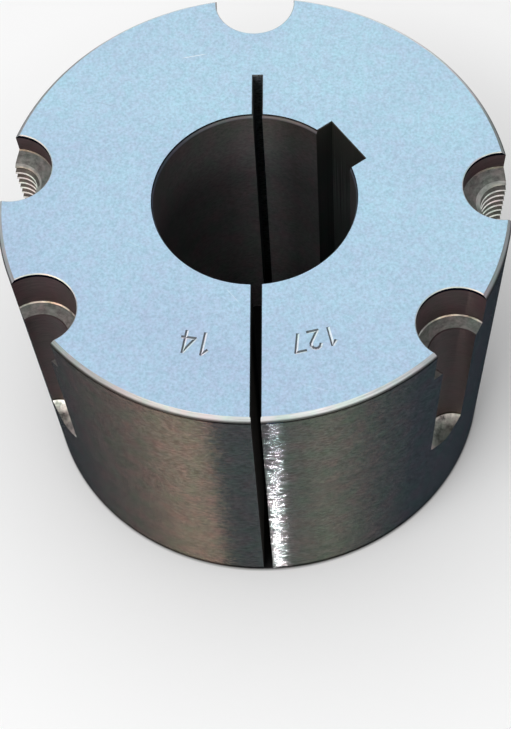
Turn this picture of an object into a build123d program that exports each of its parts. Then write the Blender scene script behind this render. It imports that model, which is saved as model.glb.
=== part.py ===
"""Taper bush: a split taper sleeve that locks a pulley or coupling hub onto a keyed shaft.

Millimetres, +Z up. The origin is on the bore's axis in the plane of the small end face, and the bush
stands on that face with its large end up. The through slot is towards -Y. Angles of the keyway and the
screw holes are counted about +Z from +X.
"""

import math
import os

from build123d import *

# Turned outside: a cone with both rims chamfered.
LARGE_END_DIAMETER = 127.0
LENGTH = 88.9
INCLUDED_TAPER = 8.0
LARGE_RIM_CHAMFER = 1.2
SMALL_RIM_CHAMFER = 1.0

# Bore, with the key seat broached along it. Its large end has the longer lead-in.
BORE_DIAMETER = 50.0
BORE_CHAMFER = 0.5
BORE_LEAD_LENGTH = 1.4
KEYWAY_WIDTH = 14.0
KEYWAY_DEPTH = 3.8
KEYWAY_ANGLE = 36.0

# Saw cuts: one right through the wall, and a blind one opposite it that lets the bush close.
SLOT_WIDTH = 2.4
SLOT_OFFSET = 0.6
RELIEF_DEPTH = 12.6

# Screw holes run down from the large face. Their axes are close inside the large rim, so that each
# hole is an open half-round: the hub that the bush fits in holds the other half.
HOLE_INSET = 2.2
COUNTERBORE_DIAMETER = 20.1
SEAT_ANGLE = 140.0
DRILL_POINT_ANGLE = 118.0

# Clamping holes: clearance for the screws that draw the bush into its hub.
CLAMP_ANGLES = (90.2, 210.9, 322.5)
CLAMP_HOLE_DIAMETER = 13.5
CLAMP_COUNTERBORE_DEPTH = 12.3
CLAMP_HOLE_DEPTH = 54.3

# Jacking holes: tapped, for the screws that push the bush out again.
JACK_ANGLES = (2.1, 170.3)
JACK_TAP_DIAMETER = 10.5
JACK_MOUTH_DIAMETER = 13.3
JACK_COUNTERBORE_DEPTH = 6.2
JACK_HOLE_DEPTH = 54.3

# Sizes that follow.
large_radius = LARGE_END_DIAMETER / 2
taper_slope = math.tan(math.radians(INCLUDED_TAPER / 2))
small_radius = large_radius - LENGTH * taper_slope
bore_radius = BORE_DIAMETER / 2
keyway_reach = bore_radius + KEYWAY_DEPTH
relief_reach = bore_radius + RELIEF_DEPTH
hole_circle_radius = large_radius - HOLE_INSET
counterbore_radius = COUNTERBORE_DIAMETER / 2


def fall(outer_radius, inner_radius, point_angle):
    """How much deeper a conical floor is at its inner radius than at its outer one."""
    return (outer_radius - inner_radius) / math.tan(math.radians(point_angle / 2))


# Blank: the wall's section, from the bore out to the taper, turned about +Z.
with BuildPart() as blank:
    with BuildSketch(Plane.XZ):
        with BuildLine():
            Polyline(
                (bore_radius + BORE_CHAMFER, 0),
                (small_radius - SMALL_RIM_CHAMFER, 0),
                (small_radius + SMALL_RIM_CHAMFER * taper_slope, SMALL_RIM_CHAMFER),
                (large_radius - LARGE_RIM_CHAMFER * taper_slope, LENGTH - LARGE_RIM_CHAMFER),
                (large_radius - LARGE_RIM_CHAMFER, LENGTH),
                (bore_radius + BORE_CHAMFER, LENGTH),
                (bore_radius, LENGTH - BORE_LEAD_LENGTH),
                (bore_radius, BORE_CHAMFER),
                close=True,
            )
        make_face()
    revolve(axis=Axis.Z)

# What the clamping hole's tools clear: a counterbore with a shallow conical seat, and below it the
# clearance hole down to its drill point. Its axis is +Z, with the bush's large face at z = 0.
clamp_radius = CLAMP_HOLE_DIAMETER / 2
clamp_seat_fall = fall(counterbore_radius, clamp_radius, SEAT_ANGLE)
clamp_point_fall = fall(clamp_radius, 0, DRILL_POINT_ANGLE)
with BuildPart() as clamp_pocket:
    with BuildSketch(Plane.XZ):
        with BuildLine():
            Polyline(
                (0, 0),
                (counterbore_radius, 0),
                (counterbore_radius, -CLAMP_COUNTERBORE_DEPTH),
                (clamp_radius, -CLAMP_COUNTERBORE_DEPTH - clamp_seat_fall),
                (clamp_radius, -CLAMP_HOLE_DEPTH),
                (0, -CLAMP_HOLE_DEPTH - clamp_point_fall),
                close=True,
            )
        make_face()
    revolve(axis=Axis.Z)

# The same for a jacking hole: a shallow counterbore, a lead-in cone and the tapping drill's hole.
jack_radius = JACK_TAP_DIAMETER / 2
jack_mouth_radius = JACK_MOUTH_DIAMETER / 2
jack_seat_fall = fall(counterbore_radius, jack_mouth_radius, SEAT_ANGLE)
jack_lead_in = jack_mouth_radius - jack_radius
jack_point_fall = fall(jack_radius, 0, DRILL_POINT_ANGLE)
jack_mouth_depth = JACK_COUNTERBORE_DEPTH + jack_seat_fall
with BuildPart() as jack_pocket:
    with BuildSketch(Plane.XZ):
        with BuildLine():
            Polyline(
                (0, 0),
                (counterbore_radius, 0),
                (counterbore_radius, -JACK_COUNTERBORE_DEPTH),
                (jack_mouth_radius, -jack_mouth_depth),
                (jack_radius, -jack_mouth_depth - jack_lead_in),
                (jack_radius, -JACK_HOLE_DEPTH),
                (0, -JACK_HOLE_DEPTH - jack_point_fall),
                close=True,
            )
        make_face()
    revolve(axis=Axis.Z)


def hole_places(angles):
    """Points on the hole circle in the plane of the large face."""
    return [
        (
            hole_circle_radius * math.cos(math.radians(angle)),
            hole_circle_radius * math.sin(math.radians(angle)),
            LENGTH,
        )
        for angle in angles
    ]


with BuildPart() as taper_bush:
    add(blank.part)

    # Key seat, the full length of the bore.
    with BuildSketch(Plane.XY.rotated((0, 0, KEYWAY_ANGLE))):
        with Locations((keyway_reach / 2, 0)):
            Rectangle(keyway_reach, KEYWAY_WIDTH)
    extrude(amount=LENGTH, mode=Mode.SUBTRACT)

    # Saw cuts: through the wall towards -Y, and part-way into it towards +Y.
    with BuildSketch():
        with Locations((SLOT_OFFSET, 0)):
            Rectangle(SLOT_WIDTH, LARGE_END_DIAMETER, align=(Align.CENTER, Align.MAX))
            Rectangle(SLOT_WIDTH, relief_reach, align=(Align.CENTER, Align.MIN))
    extrude(amount=LENGTH, mode=Mode.SUBTRACT)

    with Locations(*hole_places(CLAMP_ANGLES)):
        add(clamp_pocket.part, mode=Mode.SUBTRACT)
    with Locations(*hole_places(JACK_ANGLES)):
        add(jack_pocket.part, mode=Mode.SUBTRACT)

taper_bush.part.label = "taper_bush"

os.makedirs("parts", exist_ok=True)
export_step(taper_bush.part, "parts/taper_bush.step")
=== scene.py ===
"""Taper bush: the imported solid's form, with its screw threads, stamped figures and machined finishes."""

import math

import bmesh
import bpy
from mathutils import Matrix, Vector


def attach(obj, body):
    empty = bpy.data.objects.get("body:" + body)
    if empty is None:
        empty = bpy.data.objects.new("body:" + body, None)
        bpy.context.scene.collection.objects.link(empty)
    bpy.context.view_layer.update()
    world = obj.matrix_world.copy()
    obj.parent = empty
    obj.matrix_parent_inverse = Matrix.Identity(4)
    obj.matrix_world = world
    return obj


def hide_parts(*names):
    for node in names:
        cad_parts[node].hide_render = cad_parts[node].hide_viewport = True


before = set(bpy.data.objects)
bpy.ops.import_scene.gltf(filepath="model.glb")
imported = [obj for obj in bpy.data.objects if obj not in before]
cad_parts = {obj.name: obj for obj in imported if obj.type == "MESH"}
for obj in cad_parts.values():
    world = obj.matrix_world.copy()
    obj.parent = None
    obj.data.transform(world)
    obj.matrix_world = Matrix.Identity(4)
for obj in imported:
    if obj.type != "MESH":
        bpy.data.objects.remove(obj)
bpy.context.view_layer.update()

MM = 0.001

# The bush's sizes, in millimetres, as its solid has them.
LARGE_RADIUS = 63.5
LENGTH = 88.9
TAPER_SLOPE = math.tan(math.radians(4.0))
SMALL_RADIUS = LARGE_RADIUS - LENGTH * TAPER_SLOPE
LARGE_CHAMFER = 1.2
SMALL_CHAMFER = 1.0
BORE_RADIUS = 25.0
BORE_CHAMFER = 0.5
BORE_LEAD = 1.4
KEYWAY_WIDTH = 14.0
KEYWAY_REACH = 28.8
KEYWAY_ANGLE = 36.0
SLOT_WIDTH = 2.4
SLOT_OFFSET = 0.6
RELIEF_REACH = 37.6
HOLE_CIRCLE = LARGE_RADIUS - 2.2
COUNTERBORE_RADIUS = 10.05
SEAT_ANGLE = 140.0
POINT_ANGLE = 118.0
HOLE_DEPTH = 54.3
CLAMP_ANGLES = (90.2, 210.9, 322.5)
CLAMP_RADIUS = 6.75
CLAMP_DEPTH = 12.3
JACK_ANGLES = (2.1, 170.3)
JACK_RADIUS = 5.25
JACK_MOUTH = 6.65
JACK_DEPTH = 6.2

# The jacking holes' thread: 12 turns to the inch. It fades out over the run-out's turns.
THREAD_PITCH = 25.4 / 12
THREAD_MAJOR = 6.35
THREAD_CREST = 5.05
THREAD_TOP = 7.2
THREAD_BOTTOM = 50.0
THREAD_RUNOUT = 1.5

# A turn of the thread in rows, from crest to crest: how deep each is in the groove, and which of the
# tap's materials it has: the crest's painted highlight, the flank's painted half shade or the groove's
# painted shade.
GROOVE_DEPTHS = (0.0, 0.28, 0.62, 0.92, 1.0, 0.92, 0.62, 0.28)
GROOVE_MATERIALS = (0, 2, 2, 2, 2, 1, 1, 0)

# Detail that only the look has: broken edges on the large face, a band of painted shade below them,
# and the small flats that the tool leaves at the screw seat's outer and inner corners.
EDGE_BREAK = 0.22
MOUTH_SHADE_DEPTH = 1.0
CORNER_SIZE = 0.25
CORNER_FALL = 0.09
SEAT_LIP_WIDTH = 0.3
SEAT_LIP_RISE = 0.11
SEAT_LIP_FALL = 0.1

# How far the cutters stand out past what they cut, and into how many steps a full turn is divided.
OVERSHOOT = 2.0
SLOT_OVERSHOOT = 5.0
TAP_OVERSHOOT = 0.4
TURN_STEPS = 360
HOLE_STEPS = 96
TAP_STEPS = 72

# Edges sharper than this stay sharp in the shading.
SHARP_ANGLE = 28.0


# ---------------------------------------------------------------- materials

# Grains: how many of its marks fit in a metre along x, y and z.
SPECKS = (1500, 1500, 1500)
HUE_PATCHES = (420, 420, 420)
SOFT_PATCHES = (42, 42, 42)
WALL_PATCHES = (230, 230, 170)
SCORES_ONE_WAY = (30, 5200, 30)
SCORES_OTHER_WAY = (5200, 45, 45)
TURNED_GROOVES = (6, 6, 150000)
GRINDING_MARKS = (900, 900, 1700)
CHATTER_MARKS = (620, 620, 850)
CONE_GRAIN = (800, 800, 1500)
BORED_GRAIN = (900, 900, 1500)
SAWN_GRAIN = (900, 900, 1800)
THREAD_GRAIN = (300, 300, 600)
AROUND = (40, 40, 9000)
ALONG = (2600, 2600, 12)
GRAINY = (500, 500, 700)

# The large face is a little more lilac towards the front left than towards the back right: the way from
# the one to the other, and where on it the change begins and ends, in metres.
FACE_SLANT = (0.6, 0.8, 0.0)
FACE_SLANT_START = -0.05
FACE_SLANT_END = 0.02

# The angles of the two sets of fine scores on a ground face, in degrees.
SCORE_ANGLES = (24, 9)

# The chatter marks beside the saw cut, from low on the cone to its top: how strong they are, and how far
# they lean to one side.
CHATTER_STRENGTHS = (0.66, 1.2)
CHATTER_LOW = 0.2
CHATTER_LEANS = (0.16, -0.1)


def nodes_of(name):
    """A new material, its node tree's nodes and links, and its Principled shader."""
    material = bpy.data.materials.new(name)
    material.use_nodes = True
    tree = material.node_tree
    return material, tree.nodes, tree.links, tree.nodes["Principled BSDF"]


def put(nodes, kind, **settings):
    """A new node. A setting of a socket is given by the socket's name, with _ for a space."""
    node = nodes.new(kind)
    for key, value in settings.items():
        label = key.replace("_", " ")
        if label in node.inputs:
            node.inputs[label].default_value = value
        else:
            setattr(node, key, value)
    return node


def stretched_noise(nodes, links, stretch, turn=0, detail=3.0, rough=0.55):
    """Noise whose grain is 1 / stretch metres along each axis, after they turn about Z, in degrees."""
    place = put(nodes, "ShaderNodeTexCoord")
    mapping = put(nodes, "ShaderNodeMapping", vector_type="TEXTURE")
    mapping.inputs["Rotation"].default_value = (0, 0, math.radians(turn))
    mapping.inputs["Scale"].default_value = [1 / s for s in stretch]
    links.new(place.outputs["Object"], mapping.inputs["Vector"])
    noise = put(nodes, "ShaderNodeTexNoise", Scale=1.0, Detail=detail, Roughness=rough)
    links.new(mapping.outputs["Vector"], noise.inputs["Vector"])
    return noise.outputs["Fac"]


def ramp(nodes, links, value, stops):
    """A colour ramp over a value: stops are (position, colour)."""
    node = put(nodes, "ShaderNodeValToRGB")
    line = node.color_ramp.elements
    while len(line) < len(stops):
        line.new(0.5)
    for element, (position, colour) in zip(line, stops):
        element.position = position
        element.color = (*colour, 1.0)
    links.new(value, node.inputs["Fac"])
    return node.outputs["Color"]


def grey_stops(stops):
    """A ramp's stops from pairs of a position and a strength."""
    return [(position, (strength, strength, strength)) for position, strength in stops]


def spread(nodes, links, value, low, high, start=0.3, end=0.7):
    """A value between start and end mapped to a number between low and high."""
    node = put(nodes, "ShaderNodeMapRange", clamp=True)
    node.inputs["From Min"].default_value = start
    node.inputs["From Max"].default_value = end
    node.inputs["To Min"].default_value = low
    node.inputs["To Max"].default_value = high
    links.new(value, node.inputs["Value"])
    return node.outputs["Result"]


def blended(nodes, links, first, second, amount, mode="MIX"):
    """Two colours mixed by a number or a socket."""
    node = put(nodes, "ShaderNodeMix", data_type="RGBA", blend_type=mode)
    if isinstance(amount, float):
        node.inputs["Factor"].default_value = amount
    else:
        links.new(amount, node.inputs["Factor"])
    for socket, colour in (("A", first), ("B", second)):
        target = [s for s in node.inputs if s.name == socket and s.type == "RGBA"][0]
        if isinstance(colour, tuple):
            target.default_value = (*colour, 1.0)
        else:
            links.new(colour, target)
    return [s for s in node.outputs if s.type == "RGBA"][0]


def combined(nodes, links, operation, first, second):
    """Two numbers' sockets, joined by a Math node's operation."""
    node = put(nodes, "ShaderNodeMath", operation=operation)
    links.new(first, node.inputs[0])
    links.new(second, node.inputs[1])
    return node.outputs[0]


def bumped(nodes, links, shader, bumps):
    """Chains bumps onto the shader's normal: each is (height socket, strength, depth in metres)."""
    normal = None
    for height, strength, distance in bumps:
        bump = put(nodes, "ShaderNodeBump", Strength=strength, Distance=distance)
        links.new(height, bump.inputs["Height"])
        if normal is not None:
            links.new(normal, bump.inputs["Normal"])
        normal = bump.outputs["Normal"]
    links.new(normal, shader.inputs["Normal"])


def heights(nodes, links):
    """How high a point is on the bush, from 0 at its foot to 1 at its large face."""
    place = put(nodes, "ShaderNodeTexCoord")
    apart = put(nodes, "ShaderNodeSeparateXYZ")
    links.new(place.outputs["Object"], apart.inputs["Vector"])
    return spread(nodes, links, apart.outputs["Z"], 0.0, 1.0, 0.0, LENGTH * MM)


def turns(nodes, links):
    """How far round the bush a point is, from 0 at -X through -Y, +X and +Y to 1."""
    round_about = put(nodes, "ShaderNodeTexGradient", gradient_type="RADIAL")
    links.new(put(nodes, "ShaderNodeTexCoord").outputs["Object"], round_about.inputs["Vector"])
    return round_about.outputs["Fac"]


def scratch(nodes, links, start, end, width):
    """1 along a fine straight scratch on the large face, which thins out over the last fifth at each
    end, and 0 off it. Sizes are in millimetres."""
    run, rise = end[0] - start[0], end[1] - start[1]
    length = math.hypot(run, rise)
    place = put(nodes, "ShaderNodeTexCoord")
    mapping = put(nodes, "ShaderNodeMapping", vector_type="TEXTURE")
    mapping.inputs["Location"].default_value = (start[0] * MM, start[1] * MM, 0)
    mapping.inputs["Rotation"].default_value = (0, 0, math.atan2(rise, run))
    mapping.inputs["Scale"].default_value = (length * MM, width * MM, 1)
    links.new(place.outputs["Object"], mapping.inputs["Vector"])
    apart = put(nodes, "ShaderNodeSeparateXYZ")
    links.new(mapping.outputs["Vector"], apart.inputs["Vector"])
    across = put(nodes, "ShaderNodeMath", operation="ABSOLUTE")
    links.new(apart.outputs["Y"], across.inputs[0])
    side = spread(nodes, links, across.outputs[0], 1.0, 0.0, 0.3, 1.0)
    along = put(nodes, "ShaderNodeMath", operation="PINGPONG")
    links.new(apart.outputs["X"], along.inputs[0])
    along.inputs[1].default_value = 0.5
    inside = put(nodes, "ShaderNodeMath", operation="COMPARE")
    links.new(apart.outputs["X"], inside.inputs[0])
    inside.inputs[1].default_value = 0.5
    inside.inputs[2].default_value = 0.5
    taper = spread(nodes, links, along.outputs[0], 0.0, 1.0, 0.0, 0.2)
    thinned = combined(nodes, links, "MULTIPLY", side, taper)
    return combined(nodes, links, "MULTIPLY", thinned, inside.outputs[0])


def face_material(name, tones, metallic, rough, scratches=()):
    """A finely ground flat face: close grain of three tones, soft patches and fine scratches. A scratch
    is (start, end, width, depth) in millimetres, but for the depth: above 0 it is light, below 0 dark."""
    material, nodes, links, shader = nodes_of(name)
    grain = stretched_noise(nodes, links, SPECKS, detail=2.0, rough=0.6)
    hue = stretched_noise(nodes, links, HUE_PATCHES, detail=2.0, rough=0.6)
    cloud = stretched_noise(nodes, links, SOFT_PATCHES, detail=2.0)
    lilac, base, cyan = tones
    tint = ramp(nodes, links, hue, ((0.34, lilac), (0.5, base), (0.66, cyan)))
    patch = ramp(nodes, links, cloud, ((0.3, (0.99, 0.955, 0.975)), (0.7, (1.01, 1.035, 1.02))))
    fleck = ramp(nodes, links, grain, ((0.3, (0.86, 0.87, 0.875)), (0.7, (1.14, 1.13, 1.125))))
    slant = put(nodes, "ShaderNodeVectorMath", operation="DOT_PRODUCT")
    links.new(put(nodes, "ShaderNodeTexCoord").outputs["Object"], slant.inputs[0])
    slant.inputs[1].default_value = FACE_SLANT
    side = ramp(
        nodes,
        links,
        spread(nodes, links, slant.outputs["Value"], 0.0, 1.0, FACE_SLANT_START, FACE_SLANT_END),
        ((0.0, (0.965, 0.925, 0.955)), (0.5, (1.0, 1.0, 1.0)), (1.0, (1.01, 1.035, 1.02))),
    )
    colour = blended(nodes, links, tint, patch, 1.0, "MULTIPLY")
    colour = blended(nodes, links, colour, side, 1.0, "MULTIPLY")
    colour = blended(nodes, links, colour, fleck, 1.0, "MULTIPLY")
    for start, end, width, depth in scratches:
        mask = scratch(nodes, links, start, end, width)
        amount = spread(nodes, links, mask, 0.0, abs(depth), 0.0, 1.0)
        mark = (0.95, 0.97, 1.0) if depth > 0 else (0.2, 0.22, 0.28)
        colour = blended(nodes, links, colour, mark, amount)
    links.new(colour, shader.inputs["Base Color"])
    one_way, other_way = SCORE_ANGLES
    score_a = stretched_noise(nodes, links, SCORES_ONE_WAY, turn=one_way, detail=1.0)
    score_b = stretched_noise(nodes, links, SCORES_OTHER_WAY, turn=other_way, detail=1.0)
    rough_map = spread(nodes, links, grain, rough - 0.05, rough + 0.06)
    links.new(rough_map, shader.inputs["Roughness"])
    shader.inputs["Metallic"].default_value = metallic
    bumped(
        nodes,
        links,
        shader,
        ((grain, 0.25, 0.00008), (score_a, 0.15, 0.00006), (score_b, 0.15, 0.00006)),
    )
    return material


def chatter(nodes, links, ripple):
    """How far the chatter marks beside the saw cut swing the cone's normal to the side."""
    marks = stretched_noise(nodes, links, CHATTER_MARKS, detail=1.0)
    high = heights(nodes, links)
    weak, strong = CHATTER_STRENGTHS
    strength = spread(nodes, links, high, weak, strong, CHATTER_LOW, 1.0)
    swing = combined(nodes, links, "MULTIPLY", spread(nodes, links, marks, -1.0, 1.0, 0.0, 1.0), strength)
    leaning = spread(nodes, links, high, *CHATTER_LEANS, 0.0, 1.0)
    swung = combined(nodes, links, "ADD", swing, leaning)
    reach = ramp(nodes, links, turns(nodes, links), grey_stops(ripple))
    return combined(nodes, links, "MULTIPLY", swung, reach)


def grooved(nodes, links, shader, tilt, lean, wobble, ripple):
    """Tips the normal up and down as fine turned grooves do, about a mean lean, and sideways as the
    short marks of a grinding wheel do, by the wobble. The ripple says where round the bush the chatter
    marks are: it is (turn, strength)."""
    facing = put(nodes, "ShaderNodeNewGeometry").outputs["Normal"]
    lines = stretched_noise(nodes, links, TURNED_GROOVES, detail=1.0)
    rise = spread(nodes, links, lines, lean - tilt, lean + tilt, 0.0, 1.0)
    upward = put(nodes, "ShaderNodeCombineXYZ")
    links.new(rise, upward.inputs["Z"])
    tipped = put(nodes, "ShaderNodeVectorMath", operation="ADD")
    links.new(facing, tipped.inputs[0])
    links.new(upward.outputs["Vector"], tipped.inputs[1])
    sideways = put(nodes, "ShaderNodeVectorMath", operation="CROSS_PRODUCT")
    sideways.inputs[0].default_value = (0, 0, 1)
    links.new(facing, sideways.inputs[1])
    marks = stretched_noise(nodes, links, GRINDING_MARKS, detail=1.0)
    amount = spread(nodes, links, marks, -wobble, wobble, 0.0, 1.0)
    amount = combined(nodes, links, "ADD", amount, chatter(nodes, links, ripple))
    scaled = put(nodes, "ShaderNodeVectorMath", operation="SCALE")
    links.new(sideways.outputs["Vector"], scaled.inputs[0])
    links.new(amount, scaled.inputs["Scale"])
    both = put(nodes, "ShaderNodeVectorMath", operation="ADD")
    links.new(tipped.outputs["Vector"], both.inputs[0])
    links.new(scaled.outputs["Vector"], both.inputs[1])
    unit = put(nodes, "ShaderNodeVectorMath", operation="NORMALIZE")
    links.new(both.outputs["Vector"], unit.inputs[0])
    links.new(unit.outputs["Vector"], shader.inputs["Normal"])


def metal(
    name,
    tones,
    rough,
    stretch,
    metallic=0.9,
    tint=(0.3, 0.3, 0.3),
    aniso=0.0,
    tilt=0.0,
    lean=0.0,
    wobble=0.0,
    ripple=(),
    shade=(),
    painted_light_by_turn=(),
    gloss=0.5,
):
    """A machined wall: fine tool lines along it, slow changes of tone and, where the tilt isn't 0,
    grooves that draw reflections out up and down. The shade is (height, strength) from foot to top,
    and the painted light by turn is (turn, strength) round the bush, from -X through -Y, +X and +Y.
    Both are tones painted into the colour, in most materials painted light and shade. The tint is its
    reflections' colour, and the gloss how much of what isn't metal reflects."""
    material, nodes, links, shader = nodes_of(name)
    lines = stretched_noise(nodes, links, stretch, detail=3.0, rough=0.7)
    cloud = stretched_noise(nodes, links, WALL_PATCHES, detail=2.0)
    dark, base, light = tones
    tone = ramp(nodes, links, lines, ((0.3, dark), (0.5, base), (0.72, light)))
    patch = ramp(
        nodes, links, cloud, ((0.3, (1.13, 0.96, 1.0)), (0.5, (1.0, 1.0, 1.0)), (0.7, (0.89, 1.03, 0.96)))
    )
    colour = blended(nodes, links, tone, patch, 1.0, "MULTIPLY")
    # Tone painted by height; in most materials it is painted light and shade.
    if shade:
        level = ramp(nodes, links, heights(nodes, links), grey_stops(shade))
        colour = blended(nodes, links, colour, level, 1.0, "MULTIPLY")
    # Light and shade painted into the colour round the bush.
    if painted_light_by_turn:
        level = ramp(nodes, links, turns(nodes, links), grey_stops(painted_light_by_turn))
        colour = blended(nodes, links, colour, level, 1.0, "MULTIPLY")
    links.new(colour, shader.inputs["Base Color"])
    waver = 0.015 if tilt else 0.05
    rough_map = spread(nodes, links, lines, rough - waver, rough + waver)
    links.new(rough_map, shader.inputs["Roughness"])
    shader.inputs["Metallic"].default_value = metallic
    shader.inputs["Specular IOR Level"].default_value = gloss
    shader.inputs["Specular Tint"].default_value = (*tint, 1.0)
    if aniso:
        shader.inputs["Anisotropic"].default_value = aniso
        shader.inputs["Anisotropic Rotation"].default_value = 0.25
        tangent = put(nodes, "ShaderNodeTangent", direction_type="RADIAL", axis="Z")
        links.new(tangent.outputs["Tangent"], shader.inputs["Tangent"])
    if tilt:
        grooved(nodes, links, shader, tilt, lean, wobble, ripple)
    else:
        speck = stretched_noise(nodes, links, SPECKS, detail=2.0)
        bumped(nodes, links, shader, ((lines, 1.0, 0.00002), (speck, 0.3, 0.00001)))
    return material


def greys(base, spread_of_tones, warmth=(1.0, 1.0, 1.0)):
    """Three tones about a base: dark, the base and light, each tinted by the warmth."""
    return [
        tuple(base * factor * w for w in warmth)
        for factor in (1 - spread_of_tones, 1.0, 1 + spread_of_tones)
    ]


# The large face's pale blue is a painted reflection of a blue sky.
FACE = face_material(
    "ground_face",
    ((0.421, 0.578, 0.748), (0.406, 0.588, 0.748), (0.391, 0.598, 0.748)),
    metallic=0.55,
    rough=0.42,
    scratches=(
        ((-18.9, 43.5), (-12.2, 44.8), 0.14, 0.7),
        ((-41.0, 30.6), (-35.2, 28.6), 0.12, -0.3),
        ((-6.9, -26.2), (-3.2, -31.0), 0.10, 0.35),
        ((0.4, -48.8), (2.3, -52.6), 0.10, 0.4),
        ((10.9, -53.4), (18.2, -55.8), 0.08, 0.25),
        ((-27.0, -14.5), (-31.5, -11.8), 0.08, 0.25),
        ((36.0, 17.0), (40.5, 21.5), 0.08, -0.2),
    ),
)
UNDERSIDE = face_material(
    "small_end_face",
    ((0.38, 0.44, 0.50), (0.37, 0.46, 0.50), (0.36, 0.47, 0.50)),
    metallic=0.6,
    rough=0.42,
)
# The stamps' two flanks are one metal, lit and shaded: painted shade and painted light.
STAMP_PAINTED_SHADE = metal(
    "stamp_flank_painted_shade", greys(0.12, 0.2, (0.85, 1.0, 1.15)), rough=0.6, stretch=GRAINY, metallic=0.1
)
STAMP_PAINTED_LIGHT = metal(
    "stamp_flank_painted_light", greys(0.85, 0.1, (0.9, 1.0, 1.08)), rough=0.6, stretch=GRAINY, metallic=0.1
)
# The cone is darker in thin bands at its foot and just under the chamfer.
CONE = metal(
    "ground_taper",
    greys(0.048, 0.4, (0.84, 1.0, 1.17)),
    rough=0.24,
    stretch=CONE_GRAIN,
    metallic=1.0,
    tint=(0.10, 0.12, 0.16),
    aniso=1.0,
    tilt=2.0,
    lean=0.6,
    wobble=0.078,
    ripple=((0.2528, 0.0), (0.256, 0.12), (0.2675, 0.12), (0.2735, 0.0)),
    shade=((0.0, 0.15), (0.020, 0.2), (0.026, 1.0), (0.974, 1.0), (0.981, 0.25)),
)
# The rim chamfer is painted with a dark line at its foot, a light band above it, and lighter and darker
# stretches round the bush: painted light and shade.
RIM = metal(
    "rim_chamfer",
    greys(0.70, 0.22, (0.93, 1.0, 1.04)),
    rough=0.4,
    stretch=(120, 120, 3600),
    metallic=0.08,
    gloss=0.2,
    shade=((0.0, 0.1), (0.9885, 0.12), (0.9908, 1.0), (0.9945, 0.85), (0.998, 1.0)),
    painted_light_by_turn=(
        (0.0, 0.52),
        (0.083, 0.37),
        (0.125, 0.42),
        (0.167, 0.58),
        (0.25, 0.86),
        (0.278, 0.95),
        (0.333, 0.82),
        (0.389, 0.5),
        (0.417, 0.4),
        (0.5, 0.42),
        (0.556, 0.34),
        (0.61, 1.1),
        (0.65, 1.5),
        (0.76, 1.5),
        (0.84, 1.1),
        (0.88, 0.38),
        (0.944, 0.4),
        (1.0, 0.52),
    ),
)
LOWER_RIM = metal("small_end_chamfer", greys(0.03, 0.4), rough=0.4, stretch=AROUND)
# The bored wall is painted lighter towards its foot and lighter and darker round the bush: painted light
# and shade.
BORE = metal(
    "bored_wall",
    greys(0.5, 0.25, (1.03, 1.0, 1.02)),
    rough=0.35,
    stretch=BORED_GRAIN,
    metallic=0.6,
    shade=((0.0, 1.0), (0.25, 0.74), (0.5, 0.36), (0.7, 0.21), (0.85, 0.25), (1.0, 0.18)),
    painted_light_by_turn=((0.0, 1.0), (0.55, 0.68), (0.69, 0.68), (0.73, 1.25), (0.775, 1.3), (0.80, 1.1), (1.0, 1.0)),
)
# The bore's lead is painted with a light band between dark lines: painted highlight and shade.
LEAD = metal(
    "bore_lead",
    greys(0.30, 0.2, (0.88, 1.0, 1.3)),
    rough=0.35,
    stretch=AROUND,
    shade=((0.984, 0.3), (0.9865, 1.0), (0.9905, 1.6), (0.9935, 1.3), (0.9955, 0.05), (1.0, 0.05)),
)
# The keyway is painted lighter towards its foot: painted light.
KEYWAY = metal(
    "broached_keyway",
    greys(0.12, 0.3, (0.9, 1.0, 0.98)),
    rough=0.5,
    stretch=ALONG,
    metallic=0.6,
    shade=((0.0, 1.0), (0.5, 0.6), (0.85, 0.35), (1.0, 0.3)),
)
# The saw cut is painted darker at the front and much lighter in the relief cut at the back: painted shade
# and light.
SLOT = metal(
    "sawn_slot",
    greys(0.03, 0.8, (0.85, 1.0, 1.1)),
    rough=0.8,
    stretch=SAWN_GRAIN,
    metallic=0.5,
    painted_light_by_turn=((0.4, 0.55), (0.6, 3.0)),
    gloss=0.2,
)
COUNTERBORE = metal(
    "counterbore_wall",
    greys(0.034, 0.3, (1.45, 1.0, 1.05)),
    rough=0.42,
    stretch=(300, 300, 4000),
    metallic=0.1,
    gloss=0.1,
)
# A near-black band at the top of each counterbore wall: painted shade.
MOUTH_PAINTED_SHADE = metal(
    "mouth_painted_shade", greys(0.004, 0.5, (0.8, 0.9, 1.7)), rough=0.6, stretch=GRAINY, metallic=0.0, gloss=0.0
)
SEAT = metal(
    "screw_seat", greys(0.13, 0.45, (1.02, 1.03, 0.97)), rough=0.45, stretch=(600, 600, 2500), metallic=0.3
)
# The tool's small corner flat is real; its light colour is a painted highlight.
CORNER_PAINTED_HIGHLIGHT = metal(
    "tool_corner_painted_highlight", greys(0.33, 0.8, (1.0, 1.0, 0.98)), rough=0.4, stretch=(260, 260, 260), metallic=0.3
)
# The drilled wall is near black in a thin band at its foot, above the drill point: painted shade.
DRILLED = metal(
    "drilled_wall",
    greys(0.031, 0.3, (1.35, 1.0, 1.03)),
    rough=0.45,
    stretch=(300, 300, 2600),
    metallic=0.1,
    gloss=0.1,
    shade=((0.0, 0.05), (0.3965, 0.05), (0.401, 1.0), (1.0, 1.0)),
)
# The drill points are painted light at their tops and dark lower down, and the front-left one lighter
# still: painted highlight and shade.
POINT = metal(
    "drill_point",
    greys(0.28, 0.9, (1.04, 1.0, 0.94)),
    rough=0.36,
    stretch=(420, 420, 420),
    metallic=0.5,
    shade=((0.0, 0.08), (0.35, 0.1), (0.37, 0.4), (0.382, 1.0), (0.389, 2.4)),
    painted_light_by_turn=((0.15, 1.9), (0.35, 0.7)),
)
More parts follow.
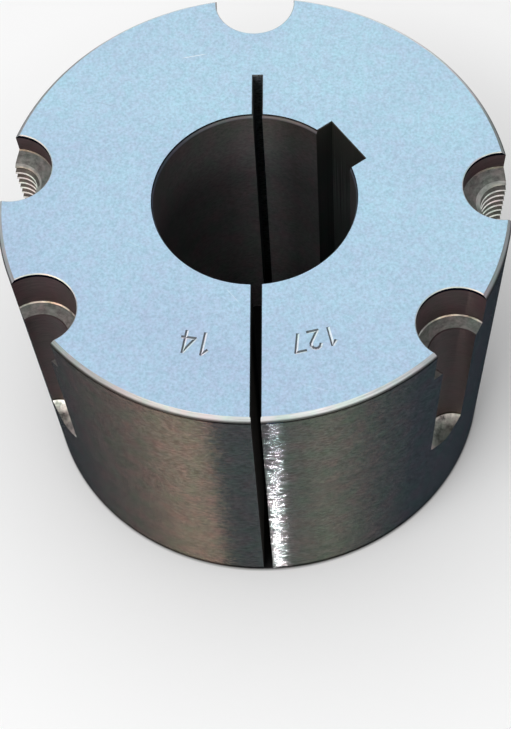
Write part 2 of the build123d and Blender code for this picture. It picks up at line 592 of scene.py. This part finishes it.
# The thread's tones are painted light and shade: light crests, darker flanks and near-black grooves.
THREAD_PAINTED_HIGHLIGHT = metal("thread_crest_painted_highlight", greys(0.7, 0.4, (1.0, 1.0, 0.97)), rough=0.33, stretch=THREAD_GRAIN)
MOUTH = metal(
    "thread_mouth", greys(0.27, 0.4, (1.0, 1.0, 0.96)), rough=0.36, stretch=THREAD_GRAIN, metallic=0.6
)
FLANK_PAINTED_HALF_SHADE = metal("thread_flank_painted_half_shade", greys(0.1, 0.4, (1.03, 1.0, 0.95)), rough=0.45, stretch=THREAD_GRAIN)
GROOVE_PAINTED_SHADE = metal("thread_groove_painted_shade", greys(0.02, 0.5, (1.1, 1.0, 1.0)), rough=0.6, stretch=THREAD_GRAIN)
EDGE = metal("broken_edge", greys(0.5, 0.15, (0.9, 1.0, 1.05)), rough=0.35, stretch=GRAINY, metallic=0.6)


# ---------------------------------------------------------------- shapes


def mesh_object(name, shape, materials):
    """A mesh object from a bmesh, with outward normals and these materials."""
    bmesh.ops.recalc_face_normals(shape, faces=shape.faces)
    mesh = bpy.data.meshes.new(name)
    shape.to_mesh(mesh)
    shape.free()
    for material in materials:
        mesh.materials.append(material)
    thing = bpy.data.objects.new(name, mesh)
    bpy.context.scene.collection.objects.link(thing)
    return thing


def on_ring(middle, radius, i, steps):
    """The x and y of a ring's point i."""
    angle = 2 * math.pi * i / steps
    return middle[0] + radius * math.cos(angle), middle[1] + radius * math.sin(angle)


def revolved(name, profile, steps, closed=False, middle=(0.0, 0.0)):
    """A solid of revolution about +Z. The profile is (radius, height, material of the span after)."""
    shape = bmesh.new()
    materials = []
    rings = []
    for radius, height, _ in profile:
        if radius == 0:
            rings.append([shape.verts.new((*middle, height))] * steps)
        else:
            places = [on_ring(middle, radius, i, steps) for i in range(steps)]
            rings.append([shape.verts.new((*place, height)) for place in places])
    spans = len(profile) if closed else len(profile) - 1
    for k in range(spans):
        material = profile[k][2]
        if material not in materials:
            materials.append(material)
        here, there = rings[k], rings[(k + 1) % len(profile)]
        for i in range(steps):
            j = (i + 1) % steps
            corners = []
            for vertex in (here[i], here[j], there[j], there[i]):
                if vertex not in corners:
                    corners.append(vertex)
            face = shape.faces.new(corners)
            face.material_index = materials.index(material)
    return mesh_object(name, shape, materials)


def lofted(name, sections, material):
    """A closed solid through sections of the same number of points."""
    shape = bmesh.new()
    rows = [[shape.verts.new(point) for point in section] for section in sections]
    count = len(rows[0])
    for k in range(len(rows) - 1):
        for i in range(count):
            j = (i + 1) % count
            shape.faces.new((rows[k][i], rows[k][j], rows[k + 1][j], rows[k + 1][i]))
    shape.faces.new(rows[0])
    shape.faces.new(rows[-1])
    return mesh_object(name, shape, [material])


def cut(target, cutter):
    """Takes the cutter away from the target, and keeps the cutter's materials on the cut."""
    modifier = target.modifiers.new("cut", "BOOLEAN")
    modifier.operation = "DIFFERENCE"
    modifier.solver = "EXACT"
    modifier.material_mode = "TRANSFER"
    modifier.object = cutter
    graph = bpy.context.evaluated_depsgraph_get()
    result = bpy.data.meshes.new_from_object(target.evaluated_get(graph))
    target.modifiers.clear()
    target.data = result
    bpy.data.objects.remove(cutter)


def fall(outer, inner, point_angle):
    """How much deeper a conical floor is at its inner radius than at its outer one."""
    return (outer - inner) / math.tan(math.radians(point_angle / 2))


def hole_place(angle):
    """The x and y of a screw hole's axis."""
    return (
        HOLE_CIRCLE * math.cos(math.radians(angle)),
        HOLE_CIRCLE * math.sin(math.radians(angle)),
    )


# The top of every screw hole's profile: its counterbore's mouth, with the edge broken and painted shade
# under it.
POCKET_MOUTH = (
    (0, LENGTH + OVERSHOOT, FACE),
    (COUNTERBORE_RADIUS + EDGE_BREAK + OVERSHOOT, LENGTH + OVERSHOOT, EDGE),
    (COUNTERBORE_RADIUS, LENGTH - EDGE_BREAK, MOUTH_PAINTED_SHADE),
    (COUNTERBORE_RADIUS, LENGTH - EDGE_BREAK - MOUTH_SHADE_DEPTH, COUNTERBORE),
)


def clamp_pocket(angle):
    """What the clamping hole's tools clear."""
    seat = CLAMP_DEPTH + fall(COUNTERBORE_RADIUS, CLAMP_RADIUS, SEAT_ANGLE)
    point = HOLE_DEPTH + fall(CLAMP_RADIUS, 0, POINT_ANGLE)
    profile = (
        *POCKET_MOUTH,
        (COUNTERBORE_RADIUS, LENGTH - CLAMP_DEPTH + CORNER_SIZE, CORNER_PAINTED_HIGHLIGHT),
        (COUNTERBORE_RADIUS - CORNER_SIZE, LENGTH - CLAMP_DEPTH - CORNER_FALL, SEAT),
        (CLAMP_RADIUS + SEAT_LIP_WIDTH, LENGTH - seat + SEAT_LIP_RISE, DRILLED),
        (CLAMP_RADIUS, LENGTH - seat - SEAT_LIP_FALL, DRILLED),
        (CLAMP_RADIUS, LENGTH - HOLE_DEPTH, POINT),
        (0, LENGTH - point, POINT),
    )
    return revolved("clamp_cutter", profile, HOLE_STEPS, middle=hole_place(angle))


def jack_pocket(angle):
    """What the jacking hole's tools clear before it is tapped."""
    mouth = JACK_DEPTH + fall(COUNTERBORE_RADIUS, JACK_MOUTH, SEAT_ANGLE)
    point = HOLE_DEPTH + fall(JACK_RADIUS, 0, POINT_ANGLE)
    profile = (
        *POCKET_MOUTH,
        (COUNTERBORE_RADIUS, LENGTH - JACK_DEPTH + CORNER_SIZE, SEAT),
        (COUNTERBORE_RADIUS - CORNER_SIZE, LENGTH - JACK_DEPTH - CORNER_FALL, SEAT),
        (JACK_MOUTH, LENGTH - mouth, MOUTH),
        (JACK_RADIUS, LENGTH - mouth - (JACK_MOUTH - JACK_RADIUS), THREAD_PAINTED_HIGHLIGHT),
        (JACK_RADIUS, LENGTH - HOLE_DEPTH, POINT),
        (0, LENGTH - point, POINT),
    )
    return revolved("jack_cutter", profile, HOLE_STEPS, middle=hole_place(angle))


def tap(angle):
    """A tap's body: a rod whose surface is the thread's grooves, its rows running along the helix."""
    middle = hole_place(angle)
    shape = bmesh.new()
    per_turn = len(GROOVE_DEPTHS)
    rows = int((THREAD_BOTTOM - THREAD_TOP) / THREAD_PITCH) * per_turn
    full_depth = THREAD_MAJOR - THREAD_CREST

    def corner(row, i):
        """The helix's point i of a row."""
        height = LENGTH - THREAD_TOP - (row / per_turn + i / TAP_STEPS) * THREAD_PITCH
        left = (height - (LENGTH - THREAD_BOTTOM)) / (THREAD_RUNOUT * THREAD_PITCH)
        fade = min(1.0, max(0.0, left))
        radius = THREAD_CREST + full_depth * GROOVE_DEPTHS[row % per_turn] * fade
        return shape.verts.new((*on_ring(middle, radius, i, TAP_STEPS), height))

    def end_ring(height):
        """A flat end of the rod."""
        places = [on_ring(middle, THREAD_CREST, i, TAP_STEPS) for i in range(TAP_STEPS)]
        ring = [shape.verts.new((*place, height)) for place in places]
        shape.faces.new(ring)
        return ring

    # A row's last point is followed by the first point of the row one turn further down.
    grid = [[corner(row, i) for i in range(TAP_STEPS)] for row in range(rows + 1)]
    column = [row[0] for row in grid] + [corner(rows + k, 0) for k in range(1, per_turn + 1)]
    for row in range(rows):
        here, there = grid[row], grid[row + 1]
        strip = [
            shape.faces.new((here[i], here[i + 1], there[i + 1], there[i])) for i in range(TAP_STEPS - 1)
        ]
        strip.append(
            shape.faces.new((here[-1], column[row + per_turn], column[row + per_turn + 1], there[-1]))
        )
        for face in strip:
            face.material_index = GROOVE_MATERIALS[row % per_turn]

    top = end_ring(LENGTH - THREAD_TOP + TAP_OVERSHOOT)
    first = grid[0]
    for i in range(TAP_STEPS - 1):
        shape.faces.new((top[i], top[i + 1], first[i + 1], first[i]))
    shape.faces.new([top[-1], top[0]] + column[: per_turn + 1] + [first[-1]])
    bottom = end_ring(LENGTH - THREAD_TOP - (rows / per_turn + 1) * THREAD_PITCH - TAP_OVERSHOOT)
    last = grid[rows]
    for i in range(TAP_STEPS - 1):
        shape.faces.new((bottom[i], bottom[i + 1], last[i + 1], last[i]))
    shape.faces.new([bottom[-1], bottom[0]] + column[: rows - 1 : -1] + [last[-1]])
    return mesh_object("tap", shape, [THREAD_PAINTED_HIGHLIGHT, FLANK_PAINTED_HALF_SHADE, GROOVE_PAINTED_SHADE])


# The turned blank.
blank_profile = (
    (BORE_RADIUS + BORE_CHAMFER, 0, UNDERSIDE),
    (SMALL_RADIUS - SMALL_CHAMFER, 0, LOWER_RIM),
    (SMALL_RADIUS + SMALL_CHAMFER * TAPER_SLOPE, SMALL_CHAMFER, CONE),
    (LARGE_RADIUS - LARGE_CHAMFER * TAPER_SLOPE, LENGTH - LARGE_CHAMFER, RIM),
    (LARGE_RADIUS - LARGE_CHAMFER, LENGTH, FACE),
    (BORE_RADIUS + BORE_CHAMFER, LENGTH, LEAD),
    (BORE_RADIUS, LENGTH - BORE_LEAD, BORE),
    (BORE_RADIUS, BORE_CHAMFER, LEAD),
)
bush = revolved("bush", blank_profile, TURN_STEPS, closed=True)


# A straight cutter's sections: their heights, and how much wider it is there, which breaks the cut's edge
# on the large face.
CUTTER_LEVELS = (
    (-OVERSHOOT, 0),
    (LENGTH - EDGE_BREAK, 0),
    (LENGTH + OVERSHOOT, EDGE_BREAK + OVERSHOOT),
)


def keyway_cutter():
    """The key seat from the bore's axis out, with its edges on the large face broken."""
    angle = math.radians(KEYWAY_ANGLE)
    sections = []
    for height, grow in CUTTER_LEVELS:
        u = KEYWAY_REACH + grow
        v = KEYWAY_WIDTH / 2 + grow
        section = []
        for a, b in ((0, -v), (u, -v), (u, v), (0, v)):
            x = a * math.cos(angle) - b * math.sin(angle)
            y = a * math.sin(angle) + b * math.cos(angle)
            section.append((x, y, height))
        sections.append(section)
    return lofted("keyway_cutter", sections, KEYWAY)


def slot_cutter(near, far):
    """A saw cut from y = near to y = far, with its edges on the large face broken."""
    sections = []
    for height, grow in CUTTER_LEVELS:
        h = SLOT_WIDTH / 2 + grow
        end = far + (grow if far > 0 else 0)
        corners = ((-h, near), (h, near), (h, end), (-h, end))
        sections.append([(SLOT_OFFSET + x, y, height) for x, y in corners])
    return lofted("slot_cutter", sections, SLOT)


# Plain figures where such a bush is stamped: its key seat's width and its large end's diameter, in
# millimetres. A figure's strokes are lines in a box 1 high, read from the bore.
FIGURE_WIDTH = 0.52
FIGURES = {
    "1": (((0.10, 0.78), (0.30, 1.0), (0.30, 0.0)),),
    "2": (
        (
            (0.02, 0.80),
            (0.08, 0.93),
            (0.20, 1.0),
            (0.33, 1.0),
            (0.45, 0.93),
            (0.50, 0.80),
            (0.48, 0.66),
            (0.38, 0.50),
            (0.02, 0.0),
            (0.52, 0.0),
        ),
    ),
    "4": (((0.40, 0.0), (0.40, 1.0)), ((0.40, 1.0), (0.0, 0.30), (0.54, 0.30))),
    "7": (((0.0, 1.0), (0.50, 1.0), (0.18, 0.0)),),
}

# Each stamp's middle, turn in degrees, height, spacing and figures.
STAMPS = (
    ((-13.6, -41.8), 170.0, 6.0, 3.9, "14"),
    ((14.6, -41.4), 193.0, 4.9, 4.0, "127"),
)
STROKE_HALF_WIDTH = 0.42
STROKE_DEPTH = 0.28
STROKE_PROUD = 0.3
STROKE_END = 0.6

# A stroke's flank that faces this way, across the large face, has the painted light; the other has painted
# shade.
PAINTED_LIGHT_WAY = Vector((-0.5, 0.85))


def stamp_cutter(start, end):
    """A V-shaped punch mark along one line on the large face, with one flank in painted shade and one in
    painted light.
    """
    way = (end - start).normalized()
    across = Vector((-way.y, way.x)) * STROKE_HALF_WIDTH * (1 + STROKE_PROUD / STROKE_DEPTH)
    reach = way * STROKE_HALF_WIDTH * STROKE_END
    shape = bmesh.new()
    rows = []
    for point in (start - reach, end + reach):
        section = (
            (*(point + across), LENGTH + STROKE_PROUD),
            (*(point - across), LENGTH + STROKE_PROUD),
            (*point, LENGTH - STROKE_DEPTH),
        )
        rows.append([shape.verts.new(place) for place in section])
    here, there = rows
    shape.faces.new((here[0], here[1], there[1], there[0]))
    shape.faces.new(here)
    shape.faces.new(there)
    for side, faces_painted_light in ((0, across.dot(PAINTED_LIGHT_WAY) < 0), (1, across.dot(PAINTED_LIGHT_WAY) > 0)):
        flank = shape.faces.new((here[side], here[2], there[2], there[side]))
        flank.material_index = 1 if faces_painted_light else 0
    return mesh_object("stamp_cutter", shape, [STAMP_PAINTED_SHADE, STAMP_PAINTED_LIGHT])


def stamp_points(stroke, middle, turn, along, height):
    """A stroke's points on the large face."""
    turned = Matrix.Rotation(math.radians(turn), 2)
    return [
        Vector(middle)
        + turned @ Vector((along + (x - FIGURE_WIDTH / 2) * height, (y - 0.5) * height))
        for x, y in stroke
    ]


cut(bush, keyway_cutter())
cut(bush, slot_cutter(0, RELIEF_REACH))
cut(bush, slot_cutter(0, -LARGE_RADIUS - SLOT_OVERSHOOT))
for angle in CLAMP_ANGLES:
    cut(bush, clamp_pocket(angle))
for angle in JACK_ANGLES:
    cut(bush, jack_pocket(angle))
    cut(bush, tap(angle))

for middle, turn, height, pitch, figures in STAMPS:
    for place, figure in enumerate(figures):
        along = (place - (len(figures) - 1) / 2) * pitch
        for stroke in FIGURES[figure]:
            points = stamp_points(stroke, middle, turn, along, height)
            for start, end in zip(points, points[1:]):
                cut(bush, stamp_cutter(start, end))

bush.data.transform(Matrix.Scale(MM, 4))
bush.data.shade_smooth()
bush.data.set_sharp_from_angle(angle=math.radians(SHARP_ANGLE))
bush.name = "taper_bush_finished"

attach(bush, "root")
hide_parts("taper_bush")


# ---------------------------------------------------------------- stage

# The floor's half size, and how far out its own white reaches its full share, in metres. Under the bush's
# foot, up to an edge a little inside and outside it, the floor is dark: painted shade.
FLOOR_HALF = 6.0
FLOOR_WHITE = 0.9
FLOOR_GLOW = 0.7
FLOOR_FULL_GLOW = 0.14
FOOT_PAINTED_SHADE = 0.02
FOOT_PAINTED_SHADE_EDGE = (-0.0006, 0.0004)
WORLD_LIGHT = 0.65

# How far the lamps are from the bush's middle, in metres, and their falloffs: (place, strength) from left
# to right across a lamp.
LAMP_DISTANCE = 0.9
KEY_FALLOFF = (
    (0.0, 0.03),
    (0.34, 0.1),
    (0.48, 0.21),
    (0.59, 0.33),
    (0.68, 0.54),
    (0.77, 0.86),
    (0.87, 1.0),
    (0.93, 0.9),
    (0.97, 0.6),
    (1.0, 0.2),
)
FILL_FALLOFF = (
    (0.0, 0.3),
    (0.1, 0.3),
    (0.2, 0.2),
    (0.3, 0.25),
    (0.42, 0.62),
    (0.56, 1.0),
    (0.65, 0.7),
    (0.74, 0.41),
    (0.84, 0.22),
    (1.0, 0.07),
)
BACK_FALLOFF = ((0.0, 0.05), (0.35, 0.6), (0.5, 1.0), (0.65, 0.6), (1.0, 0.05))

# The small lamp whose reflection is the bright streak beside the saw cut, and what it points at.
STREAK_PLACE = (0.0095, -0.13, 0.006)
STREAK_AIM = (0.004, -0.06, 0.03)


def shown(nodes, links):
    """1 for what the camera sees, directly or in metal or glass, and 0 for light on what is dull."""
    paths = put(nodes, "ShaderNodeLightPath")
    seen = paths.outputs["Is Camera Ray"]
    for kind in ("Is Glossy Ray", "Is Transmission Ray"):
        seen = combined(nodes, links, "MAXIMUM", seen, paths.outputs[kind])
    return seen


def white_floor():
    """White paper that keeps the bush's shadow, with painted shade under the bush's foot. It adds its own
    white only for the camera and in reflections, and less of it near the bush."""
    mesh = bpy.data.meshes.new("floor")
    ways = ((-1, -1), (1, -1), (1, 1), (-1, 1))
    mesh.from_pydata([(x * FLOOR_HALF, y * FLOOR_HALF, 0) for x, y in ways], [], [(0, 1, 2, 3)])
    floor = bpy.data.objects.new("floor", mesh)
    bpy.context.scene.collection.objects.link(floor)
    material, nodes, links, shader = nodes_of("floor_paper")
    out = put(nodes, "ShaderNodeVectorMath", operation="LENGTH")
    links.new(put(nodes, "ShaderNodeTexCoord").outputs["Object"], out.inputs[0])
    foot = SMALL_RADIUS * MM
    inner, outer = (foot + edge for edge in FOOT_PAINTED_SHADE_EDGE)
    # The floor's colour: white, with painted shade under the bush's foot.
    white = ramp(
        nodes,
        links,
        spread(nodes, links, out.outputs["Value"], 0.0, 1.0, inner, outer),
        grey_stops(((0.0, FOOT_PAINTED_SHADE), (1.0, FLOOR_WHITE))),
    )
    links.new(white, shader.inputs["Base Color"])
    shader.inputs["Roughness"].default_value = 0.9
    shader.inputs["Specular IOR Level"].default_value = 0.0
    glow = put(nodes, "ShaderNodeEmission", Strength=1.0)
    mix = put(nodes, "ShaderNodeMixShader")
    glowing = spread(nodes, links, out.outputs["Value"], 0.0, FLOOR_GLOW, foot, FLOOR_FULL_GLOW)
    share = combined(nodes, links, "MULTIPLY", shown(nodes, links), glowing)
    links.new(share, mix.inputs["Fac"])
    links.new(shader.outputs["BSDF"], mix.inputs[1])
    links.new(glow.outputs["Emission"], mix.inputs[2])
    links.new(mix.outputs["Shader"], nodes["Material Output"].inputs["Surface"])
    mesh.materials.append(material)


def white_world():
    """White to the camera and in metal, and a soft light on what is dull."""
    world = bpy.data.worlds.new("studio")
    bpy.context.scene.world = world
    world.use_nodes = True
    nodes, links = world.node_tree.nodes, world.node_tree.links
    strength = spread(nodes, links, shown(nodes, links), WORLD_LIGHT, 1.0, 0.0, 1.0)
    background = nodes["Background"]
    background.inputs["Color"].default_value = (1, 1, 1, 1)
    links.new(strength, background.inputs["Strength"])


def lamp_at(name, place, aim, width, height, radiance, colour, seen_in):
    """An area light of a given radiance, which lights only what is dull or shows only in metal."""
    lamp = bpy.data.lights.new(name, "AREA")
    lamp.shape = "RECTANGLE"
    lamp.size = width
    lamp.size_y = height
    lamp.energy = radiance * math.pi * width * height
    lamp.color = colour
    thing = bpy.data.objects.new(name, lamp)
    bpy.context.scene.collection.objects.link(thing)
    thing.visible_camera = False
    thing.visible_diffuse = seen_in == "dull"
    thing.visible_glossy = seen_in == "metal"
    thing.location = place
    thing.rotation_euler = (Vector(place) - Vector(aim)).to_track_quat("Z", "Y").to_euler()
    return lamp


def softbox(name, azimuth, elevation, width, height, radiance, colour, seen_in):
    """A light aimed at the bush's middle. Azimuth is from -Y towards +X, in degrees."""
    a, e = math.radians(azimuth), math.radians(elevation)
    middle = Vector((0, 0, LENGTH * MM / 2))
    way = Vector((math.sin(a) * math.cos(e), -math.cos(a) * math.cos(e), math.sin(e)))
    place = middle + way * LAMP_DISTANCE
    return lamp_at(name, place, middle, width, height, radiance, colour, seen_in)


def shaded(lamp, stops):
    """Gives an area light a falloff from its left to its right, as cloth in front of a lamp does."""
    lamp.use_nodes = True
    nodes, links = lamp.node_tree.nodes, lamp.node_tree.links
    across = put(nodes, "ShaderNodeSeparateXYZ")
    links.new(put(nodes, "ShaderNodeNewGeometry").outputs["Parametric"], across.inputs["Vector"])
    level = ramp(nodes, links, across.outputs["X"], grey_stops(stops))
    emission = nodes["Emission"]
    emission.inputs["Color"].default_value = (1, 1, 1, 1)
    links.new(level, emission.inputs["Strength"])


white_floor()
white_world()
softbox("window", -35, 46, 0.55, 0.5, 5.0, (1, 1, 1), seen_in="dull")
key = softbox("key", -58.5, 12, 1.6, 0.4, 19.6, (1.0, 0.60, 0.33), seen_in="metal")
shaded(key, KEY_FALLOFF)
fill = softbox("fill", 18, 12, 1.38, 0.4, 8.0, (1.0, 0.79, 0.44), seen_in="metal")
shaded(fill, FILL_FALLOFF)
lamp_at("streak", STREAK_PLACE, STREAK_AIM, 0.0028, 0.012, 1200, (1.0, 0.84, 0.73), seen_in="metal")
back = softbox("back", 180, 8, 0.9, 0.3, 14.0, (1.0, 0.8, 0.52), seen_in="metal")
shaded(back, BACK_FALLOFF)


# ---------------------------------------------------------------- camera

# The photograph's viewing angle, from the middle of the large face, in degrees and metres: where the camera
# is, and how it is turned from looking straight at that middle.
CAMERA_AZIMUTH = 3.492
CAMERA_ELEVATION = 54.986
CAMERA_DISTANCE = 0.64671
CAMERA_ROLL = -3.884
CAMERA_YAW = 0.025
CAMERA_PITCH = -3.638
SENSOR_WIDTH = 36.0
FOCAL_LENGTH = 185.1
CLIP_START = 0.01
CLIP_END = 50


def place_camera():
    """A camera at the photograph's viewing angle."""
    azimuth, elevation = math.radians(CAMERA_AZIMUTH), math.radians(CAMERA_ELEVATION)
    roll, yaw, pitch = (math.radians(angle) for angle in (CAMERA_ROLL, CAMERA_YAW, CAMERA_PITCH))
    way = Vector(
        (
            math.sin(azimuth) * math.cos(elevation),
            -math.cos(azimuth) * math.cos(elevation),
            math.sin(elevation),
        )
    )
    ahead = -way
    right = ahead.cross(Vector((0, 0, 1))).normalized()
    up = right.cross(ahead)
    right, up = (
        right * math.cos(roll) + up * math.sin(roll),
        up * math.cos(roll) - right * math.sin(roll),
    )
    ahead, right = (
        ahead * math.cos(yaw) + right * math.sin(yaw),
        right * math.cos(yaw) - ahead * math.sin(yaw),
    )
    ahead, up = (
        ahead * math.cos(pitch) + up * math.sin(pitch),
        up * math.cos(pitch) - ahead * math.sin(pitch),
    )
    lens = bpy.data.cameras.new("camera")
    lens.sensor_fit = "HORIZONTAL"
    lens.sensor_width = SENSOR_WIDTH
    lens.lens = FOCAL_LENGTH
    lens.clip_start = CLIP_START
    lens.clip_end = CLIP_END
    camera = bpy.data.objects.new("camera", lens)
    bpy.context.scene.collection.objects.link(camera)
    turned = Matrix((right, up, -ahead)).transposed().to_4x4()
    turned.translation = Vector((0, 0, LENGTH * MM)) + way * CAMERA_DISTANCE
    camera.matrix_world = turned
    bpy.context.scene.camera = camera


place_camera()
bpy.context.scene.view_settings.view_transform = "Standard"
